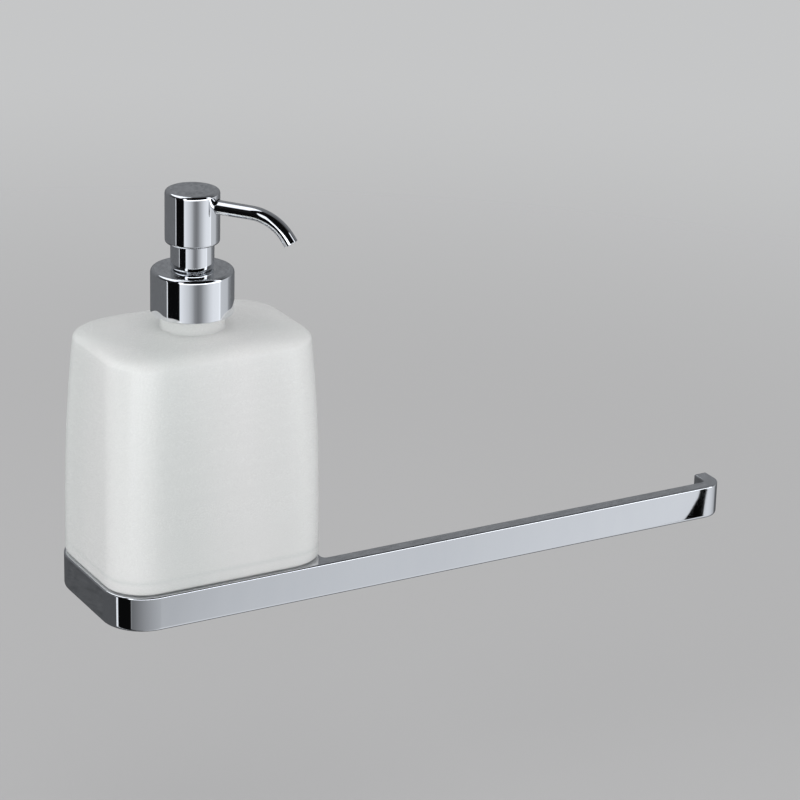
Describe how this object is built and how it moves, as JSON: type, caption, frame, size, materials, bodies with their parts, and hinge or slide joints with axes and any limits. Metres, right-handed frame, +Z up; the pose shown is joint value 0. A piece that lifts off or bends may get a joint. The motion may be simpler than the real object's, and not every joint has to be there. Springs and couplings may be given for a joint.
{
  "type": "wall mounted soap dispenser",
  "caption": "Wall bracket of flat bar that carries a rectangular frosted glass bottle with a push pump and bent spout, and runs on to one side as a towel rail.",
  "frame": {"origin": "centre of the mounting plate's back face, in the plane of the wall", "axes": "+X along the wall towards the rail's free end, +Y into the wall, +Z up"},
  "size_m": [0.31, 0.12, 0.194],
  "materials": {
    "chrome": "polished",
    "steel": "brushed",
    "satin_glass": "satin etched",
    "white_plastic": "moulded",
    "clear_plastic": "natural, translucent",
    "plug_plastic": "moulded nylon",
    "rubber": "matt"
  },
  "bodies": {
    "bracket": {"bracket_frame": "chrome", "wall_block": "chrome", "mounting_plate": "steel", "wall_screw_left": "steel", "wall_screw_right": "steel", "wall_plug_left": "plug_plastic", "wall_plug_right": "plug_plastic", "lock_screw_left": "steel", "lock_screw_right": "steel", "frame_screw_left": "steel", "frame_screw_right": "steel"},
    "bottle_body": {"bottle": "satin_glass"},
    "seal": {"neck_gasket": "rubber"},
    "pump_body": {"pump_housing": "clear_plastic", "housing_cap": "white_plastic", "return_spring": "steel", "dip_tube": "clear_plastic"},
    "collar": {"collar_shell": "chrome", "closure_insert": "white_plastic", "guide_sleeve": "chrome"},
    "plunger": {"stem": "white_plastic", "piston": "white_plastic"},
    "head": {"head_shell": "chrome", "head_core": "white_plastic", "spout_tube": "chrome"},
    "inlet_valve": {"inlet_ball": "steel"},
    "outlet_valve": {"outlet_ball": "steel"}
  },
  "joints": [
    {"name": "bottle_lift", "type": "slide", "parent": "bracket", "child": "bottle_body", "axis": [0, 0, 1], "range_m": [0, 0.06]},
    {"name": "pump_lift_out", "type": "slide", "parent": "bottle_body", "child": "seal", "axis": [0, 0, 1], "range_m": [0, 0.13]},
    {"name": "collar_rise", "type": "slide", "parent": "seal", "child": "pump_body", "axis": [0, 0, 1], "range_m": [0, 0.0048]},
    {"name": "collar_turn", "type": "hinge", "parent": "pump_body", "child": "collar", "pos_m": [0, -0.0495, 0.13], "axis": [0, 0, 1], "range_deg": [0, 540]},
    {"name": "head_press", "type": "slide", "parent": "pump_body", "child": "plunger", "axis": [0, 0, -1], "range_m": [0, 0.01], "stiffness_N_per_m": 300, "springref_m": -0.008, "deforming": ["return_spring"]},
    {"name": "head_swivel", "type": "hinge", "parent": "plunger", "child": "head", "pos_m": [0, -0.0495, 0.16], "axis": [0, 0, 1], "continuous": true},
    {"name": "inlet_ball_lift", "type": "slide", "parent": "pump_body", "child": "inlet_valve", "axis": [0, 0, 1], "range_m": [0, 0.0015]},
    {"name": "outlet_ball_lift", "type": "slide", "parent": "plunger", "child": "outlet_valve", "axis": [0, 0, 1], "range_m": [0, 0.0012]}
  ],
  "couplings": [
    {"joint": "collar_rise", "follows": "collar_turn", "m_per_rad": 0.0005093}
  ]
}
